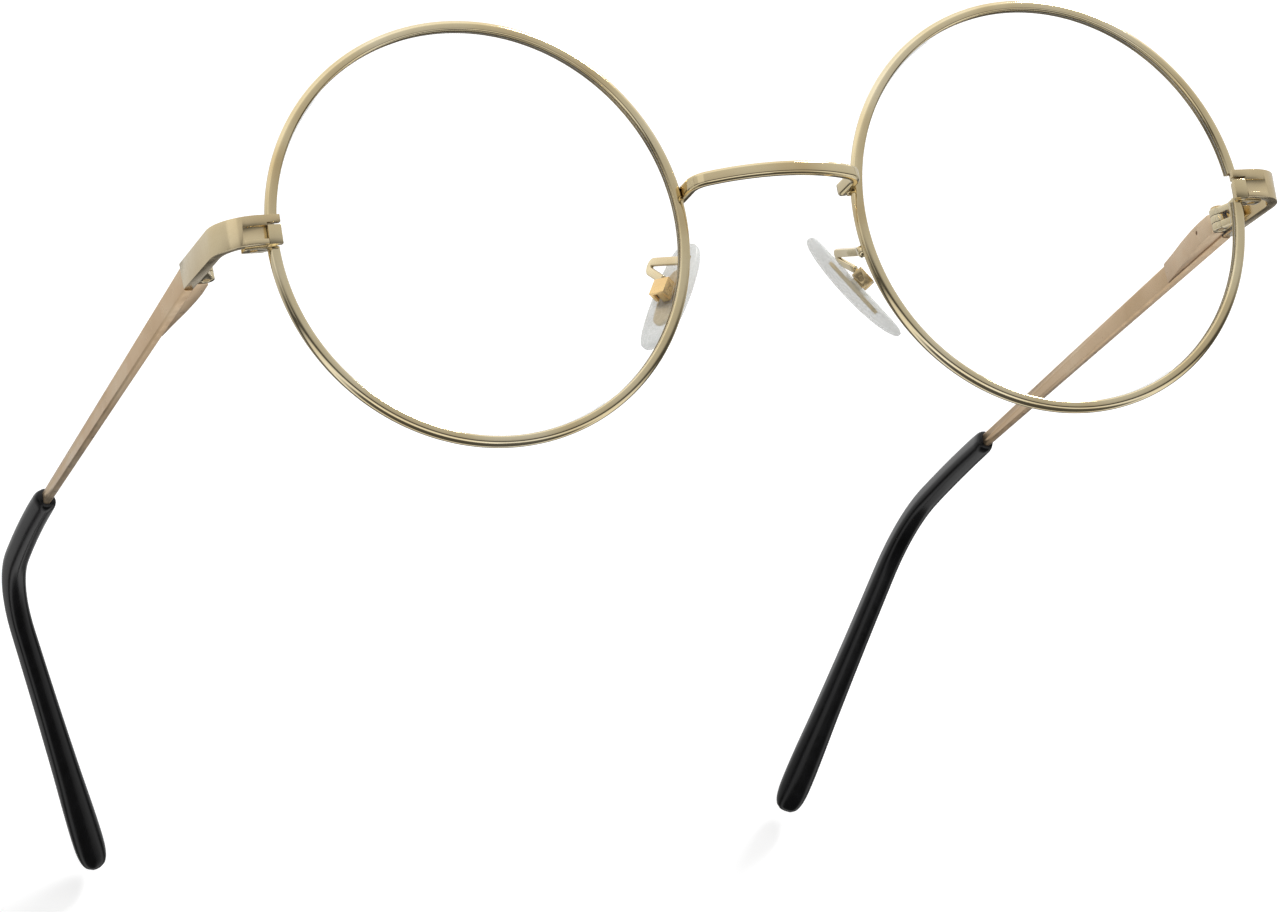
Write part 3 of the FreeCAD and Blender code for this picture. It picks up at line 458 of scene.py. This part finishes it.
def make_bridge():
    half = bridge_path()
    path = half + [(-x, y, -360.0 - direction) for x, y, direction in reversed(half[:-1])]
    plane = (Matrix.Translation((0, BRIDGE_END_Y, BRIDGE_END_Z)) @ Matrix.Rotation(-BRIDGE_PITCH, 4, "X"))
    frames, sections = [], []
    for x, y, direction in path:
        turn = math.radians(direction)
        along = Vector((math.cos(turn), math.sin(turn), 0))
        frames.append(plane @ looking(Vector((x, y, 0)), Vector((-along.y, along.x, 0)), along))
        sections.append(rounded(BRIDGE_THICK, BRIDGE_TALL, 0.42))
    points, faces = sweep(frames, sections)
    new_piece("bridge_strip", points, faces, "left", "front", POLISHED, ["bridge"])


# ----------------------------------------------------------------------------------------------------
# Solder: small uneven fillets where wires meet
# ----------------------------------------------------------------------------------------------------
def make_solder(name, centre, radii, seed):
    points = []
    rings, around = 14, 20
    for ring in range(1, rings):
        polar = math.pi * ring / rings
        for index in range(around):
            turn = 2 * math.pi * index / around
            unit = Vector((math.sin(polar) * math.cos(turn), math.sin(polar) * math.sin(turn),
                           math.cos(polar)))
            swell = 1.0 + 0.12 * noise.noise(unit * 1.7 + Vector((seed, 0, 0)))
            points.append(Vector(centre) + Vector([a * b * swell for a, b in zip(unit, radii)]))
    faces = ring_faces(rings - 1, around)
    for side in SIDES:
        new_piece(name + "_" + side, points, faces, side, "front", POLISHED)


# ----------------------------------------------------------------------------------------------------
# Pad arms: flat strip, straight back from the eyewire, tight hairpin, down to the box
# ----------------------------------------------------------------------------------------------------
PAD_CENTRE, PAD_DOWN = Vector((11.45, 5.51, -7.48)), Vector((8.15, -2.37, -13.06))
PAD_OUT = Vector((0.721, -0.445, 0.531))
ARM_ROOT, ARM_CORNER, ARM_BEND = Vector((11.15, 0.15, -4.46)), Vector((12.12, 12.3, -0.95)), 0.6
ARM_STEPS, DROP_STEPS = 24, 16
pad_out = PAD_OUT.normalized()
pad_across = pad_out.cross(PAD_DOWN).normalized()
pad_down = pad_across.cross(pad_out)
PAD = Matrix((pad_down, pad_across, pad_out)).transposed().to_4x4()
PAD.translation = PAD_CENTRE


def make_pad_arms():
    onto = PAD @ Vector((-1.35, 0.35, 2.0))
    first, second = (ARM_CORNER - ARM_ROOT).normalized(), (onto - ARM_CORNER).normalized()
    normal = first.cross(second).normalized()
    half_angle = first.angle(-second) / 2
    trim = ARM_BEND / math.tan(half_angle)
    sweep_angle = math.pi - 2 * half_angle
    start = ARM_CORNER - first * trim
    centre = start + normal.cross(first) * ARM_BEND
    spots = [(ARM_ROOT.lerp(start, step / ARM_STEPS), first) for step in range(ARM_STEPS)]
    for step in range(ARM_STEPS + 1):
        turn = Matrix.Rotation(sweep_angle * step / ARM_STEPS, 3, normal)
        spots.append((centre + turn @ (start - centre), turn @ first))
    end_bend = spots[-1][0]
    spots += [(end_bend.lerp(onto, step / DROP_STEPS), second) for step in range(1, DROP_STEPS + 1)]
    frames, sections, gone = [], [], 0.0
    for index, (spot, along) in enumerate(spots):
        if index:
            gone += (spot - spots[index - 1][0]).length
        frames.append(looking(spot, normal, along))
        slim = smooth_step((gone - 13.0) / 3.0)
        flare = 0.35 * math.exp(-(gone / 0.8) ** 2)
        sections.append(rounded(0.5 + flare - 0.02 * slim, 1.05 + flare - 0.15 * slim, 0.16))
    points, faces = sweep(frames, sections)
    for side in SIDES:
        new_piece("pad_wire_" + side, points, faces, side, "front", POLISHED,
                  ["pad_arm_" + side])


# ----------------------------------------------------------------------------------------------------
# Nose pads: soft pads, bulging towards the nose, with a recess round the box
# ----------------------------------------------------------------------------------------------------
PAD_HALF = 7.8
# (distance down the pad, half width on one edge, on the other, outer face level, nose face level)
PAD_STATIONS = [(-7.8, 0.45, 0.45, 0.55, 0.0), (-7.5, 1.1, 1.15, 0.85, -0.25), (-6.7, 1.75, 1.8, 1.0, -0.55),
                (-5.0, 2.25, 2.3, 1.05, -0.85), (-2.5, 2.5, 2.55, 1.1, -1.05), (0.0, 2.55, 2.65, 1.1, -1.1),
                (2.5, 2.45, 2.6, 1.1, -1.0), (5.0, 2.1, 2.3, 1.1, -0.7), (6.5, 1.65, 1.9, 1.1, -0.35),
                (7.4, 1.15, 1.3, 1.0, 0.0), (7.8, 0.55, 0.6, 0.8, 0.25)]


def curve_through(stations, at):
    """Smooth values through the stations, with no overshoot worth noting."""
    index = 0
    while index < len(stations) - 2 and at > stations[index + 1][0]:
        index += 1
    first, second = stations[index], stations[index + 1]
    before = stations[max(index - 1, 0)]
    after = stations[min(index + 2, len(stations) - 1)]
    span = second[0] - first[0]
    share = (at - first[0]) / span
    values = []
    for column in range(1, len(first)):
        slope_a = (second[column] - before[column]) / (second[0] - before[0])
        slope_b = (after[column] - first[column]) / (after[0] - first[0])
        square, cube = share * share, share ** 3
        values.append((2 * cube - 3 * square + 1) * first[column]
                      + (cube - 2 * square + share) * span * slope_a
                      + (3 * square - 2 * cube) * second[column] + (cube - square) * span * slope_b)
    return values


def signed_power(value, power):
    return math.copysign(abs(value) ** power, value)


def make_nose_pads():
    rings, around = 78, 72
    points = []
    for ring in range(rings):
        share = ring / (rings - 1)
        at = -PAD_HALF * math.cos(math.pi * share) * 0.35 + (-PAD_HALF + 2 * PAD_HALF * share) * 0.65
        one, other, top, bottom = curve_through(PAD_STATIONS, at)
        middle = top - 0.45 * (top - bottom)
        for index in range(around):
            turn = 2 * math.pi * index / around
            cosine, sine = math.cos(turn), math.sin(turn)
            y = signed_power(cosine, 0.8) * (one if cosine > 0 else other)
            z = middle + (signed_power(sine, 0.45) * (top - middle) if sine > 0
                          else signed_power(sine, 0.9) * (middle - bottom))
            well = smooth_step((1.75 - abs(at)) / 0.35) * smooth_step((1.55 - abs(y)) / 0.3)
            if sine > 0:
                z -= 0.55 * well
            points.append(PAD @ Vector((at, y, z)))
    faces = ring_faces(rings, around)
    for side in SIDES:
        piece = new_piece("soft_pad_" + side, points, faces, side, side + "_nose_pad", SILICONE,
                          ["nose_pad_" + side])


# ----------------------------------------------------------------------------------------------------
# Temple tips: glossy sleeves over the ends of the temples, bent down behind the ears
# ----------------------------------------------------------------------------------------------------
STRIP_MIDDLE, STRIP_END, STRIP_DROP = 1.65, 73.0, 0.15
BEND_TILT, PATH_DROP = math.radians(22.9), math.radians(6.0)
STRAIGHT_RUN, BEND_RADIUS, BEND_ANGLE = 18.2, 18.0, math.radians(45.3)
TIP_STATIONS = [(0.0, 1.9, 2.3), (0.35, 2.25, 2.7), (1.2, 2.45, 2.95), (8.0, 2.55, 3.0), (16.0, 2.55, 3.05),
                (25.0, 2.6, 3.2), (34.0, 2.7, 3.3), (43.0, 2.9, 3.4), (53.0, 3.4, 3.5), (60.0, 4.0, 3.5),
                (64.0, 4.1, 3.4), (66.0, 3.75, 3.05), (67.2, 2.9, 2.3), (67.7, 1.7, 1.4)]


def make_tips():
    step_long = 0.1
    tip_long = TIP_STATIONS[-1][0]
    count = int(round(tip_long / step_long))
    strip_end = TEMPLE @ Matrix.Translation((STRIP_MIDDLE, STRIP_END, -STRIP_DROP))
    lean_over = Matrix.Rotation(BEND_TILT, 4, "Y")
    frames, sections = [], []
    along = down = 0.0
    for step in range(count + 1):
        at = step * step_long
        bent = max(at - STRAIGHT_RUN, 0.0) / BEND_RADIUS
        angle = PATH_DROP * min(at / STRAIGHT_RUN, 1.0) + min(bent, BEND_ANGLE)
        if step % 7 == 0 or at > 64.5 or at < 1.6 or step == count:
            heading = Vector((0, math.cos(angle), -math.sin(angle)))
            place = looking(Vector((0, along, -down)), Vector((1, 0, 0)), heading)
            wide, tall = curve_through(TIP_STATIONS, at)
            frames.append(strip_end @ lean_over @ place)
            sections.append(rounded(wide, tall, 0.42 * wide, 8))
        along += math.cos(angle) * step_long
        down += math.sin(angle) * step_long
    points, faces = sweep(frames, sections)
    for side in SIDES:
        new_piece("ear_tip_" + side, points, faces, side, side + "_temple", ACETATE,
                  ["temple_tip_" + side])


# ----------------------------------------------------------------------------------------------------
# Stage, light and camera
# ----------------------------------------------------------------------------------------------------
PAPER_GREY, FLOOR_GLOW, WALL_GLOW = (0.88, 0.88, 0.88), 0.32, 0.42
STAGE_HALF, WALL_GAP = 1.2, 0.0012
LIT_SPOT = (0, 0, 0.02)
# (name, place, size, power in watts), all in metres and aimed at LIT_SPOT
LAMPS = (("key", (0.85, -0.55, 1.05), (0.34, 0.34), 14.0), ("fill", (-0.9, -0.6, 0.2), (0.5, 0.9), 0.3),
         ("below", (-0.1, -0.7, -0.7), (0.7, 0.3), 0.35))
# The camera in the frame front's axes: direction, then distance and offsets from the origin, then lens
CAMERA_AZIMUTH, CAMERA_ELEVATION, CAMERA_ROLL = -22.9458, -13.5914, -9.1899
CAMERA_DISTANCE, CAMERA_ACROSS, CAMERA_RISE = 826.343, -15.049, -27.649
CAMERA_LENS, CAMERA_SENSOR = 199.292, 36.0
# Brightness of the surround by height: 0 is straight down, 1 is straight up
SURROUND = ((0.0, 0.08), (0.12, 0.12), (0.2, 1.0), (0.29, 0.8), (0.36, 0.06), (0.44, 0.10), (0.53, 0.5),
            (0.62, 0.6), (0.72, 0.66), (0.84, 1.1), (1.0, 1.0))


def one_way(name, colour, glow):
    """Pale matt surface, seen only from its front: from behind it is clear, so it never hides the object."""
    made = Nodes(name)
    lighter = [min(1.0, value * 1.01) for value in colour]
    made.link(made.ramp(made.grain(0.01, detail=2.0), (0.3, colour), (0.7, lighter)),
              made.shader.inputs["Base Color"])
    made.set(Roughness=0.9, Emission_Color=(1.0, 1.0, 1.0, 1.0), Emission_Strength=glow)
    made.shader.inputs["Specular IOR Level"].default_value = 0.1
    clear = made.new("ShaderNodeBsdfTransparent")
    choose = made.new("ShaderNodeMixShader")
    made.link(made.new("ShaderNodeNewGeometry").outputs["Backfacing"], choose.inputs[0])
    made.link(made.shader.outputs["BSDF"], choose.inputs[1])
    made.link(clear.outputs["BSDF"], choose.inputs[2])
    made.link(choose.outputs["Shader"], made.output.inputs["Surface"])
    return made.material


def stage_plane(name, corners, material):
    mesh = bpy.data.meshes.new(name)
    mesh.from_pydata(corners, [], [(0, 1, 2, 3)])
    plane = bpy.data.objects.new(name, mesh)
    bpy.context.scene.collection.objects.link(plane)
    mesh.materials.append(material)
    plane.visible_shadow = plane.visible_glossy = plane.visible_diffuse = False


def area_light(name, spot, aim, size, power):
    data = bpy.data.lights.new(name, "AREA")
    data.shape = "RECTANGLE"
    data.size, data.size_y = size
    data.energy = power
    lamp = bpy.data.objects.new(name, data)
    bpy.context.scene.collection.objects.link(lamp)
    lamp.location = spot
    lamp.rotation_euler = (Vector(aim) - Vector(spot)).to_track_quat("-Z", "Y").to_euler()


def make_camera():
    azimuth, elevation, roll = (math.radians(value)
                                for value in (CAMERA_AZIMUTH, CAMERA_ELEVATION, CAMERA_ROLL))
    back = Vector((math.sin(azimuth) * math.cos(elevation), -math.cos(azimuth) * math.cos(elevation),
                   math.sin(elevation)))
    level = Vector((math.cos(azimuth), math.sin(azimuth), 0.0))
    raised = back.cross(level)
    right = level * math.cos(roll) + raised * math.sin(roll)
    upward = raised * math.cos(roll) - level * math.sin(roll)
    spot = back * CAMERA_DISTANCE + right * CAMERA_ACROSS + upward * CAMERA_RISE
    pose = tilt @ Matrix((right, upward, back)).transposed().to_4x4()
    pose.translation = FRONT @ spot
    data = bpy.data.cameras.new("camera")
    data.sensor_width = CAMERA_SENSOR
    data.lens = CAMERA_LENS
    data.clip_start, data.clip_end = 0.01, 20.0
    camera = bpy.data.objects.new("camera", data)
    bpy.context.scene.collection.objects.link(camera)
    camera.matrix_world = pose
    bpy.context.scene.camera = camera


def make_world():
    """Studio surround whose brightness changes with height, with dark bands for the metal to show."""
    world = bpy.data.worlds.new("studio")
    bpy.context.scene.world = world
    world.use_nodes = True
    tree = world.node_tree
    tree.nodes.clear()
    coordinate = tree.nodes.new("ShaderNodeTexCoord")
    split = tree.nodes.new("ShaderNodeSeparateXYZ")
    tree.links.new(coordinate.outputs["Generated"], split.inputs["Vector"])
    spread = tree.nodes.new("ShaderNodeMapRange")
    spread.inputs["From Min"].default_value = -1.0
    tree.links.new(split.outputs["Z"], spread.inputs["Value"])
    ramp = tree.nodes.new("ShaderNodeValToRGB")
    elements = ramp.color_ramp.elements
    while len(elements) < len(SURROUND):
        elements.new(0.5)
    for element, (position, level) in zip(elements, SURROUND):
        element.position = position
        element.color = (level, level, level, 1.0)
    tree.links.new(spread.outputs["Result"], ramp.inputs["Fac"])
    background = tree.nodes.new("ShaderNodeBackground")
    background.inputs["Strength"].default_value = 1.0
    tree.links.new(ramp.outputs["Color"], background.inputs["Color"])
    output = tree.nodes.new("ShaderNodeOutputWorld")
    tree.links.new(background.outputs["Background"], output.inputs["Surface"])


def make_stage():
    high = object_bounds()[1]
    paper = one_way("paper", PAPER_GREY, FLOOR_GLOW)
    card = one_way("card", PAPER_GREY, WALL_GLOW)
    wide, wall = STAGE_HALF, high[1] + WALL_GAP
    stage_plane("floor", [(-wide, -wide, 0.0), (wide, -wide, 0.0), (wide, wide, 0.0), (-wide, wide, 0.0)],
                paper)
    stage_plane("backdrop",
                [(-wide, wall, -wide), (wide, wall, -wide), (wide, wall, wide), (-wide, wall, wide)], card)
    for name, spot, size, power in LAMPS:
        area_light(name, spot, LIT_SPOT, size, power)


soften_nodes()
make_rims()
make_bridge()
make_solder("bridge_solder", (10.75, 0.1, 3.3), (0.55, 0.75, 0.95), 1.0)
make_solder("arm_solder", (11.2, 0.35, -4.4), (0.45, 0.6, 0.65), 4.0)
make_pad_arms()
make_nose_pads()
make_tips()
make_world()
make_stage()
make_camera()
bpy.context.scene.view_settings.view_transform = "Standard"
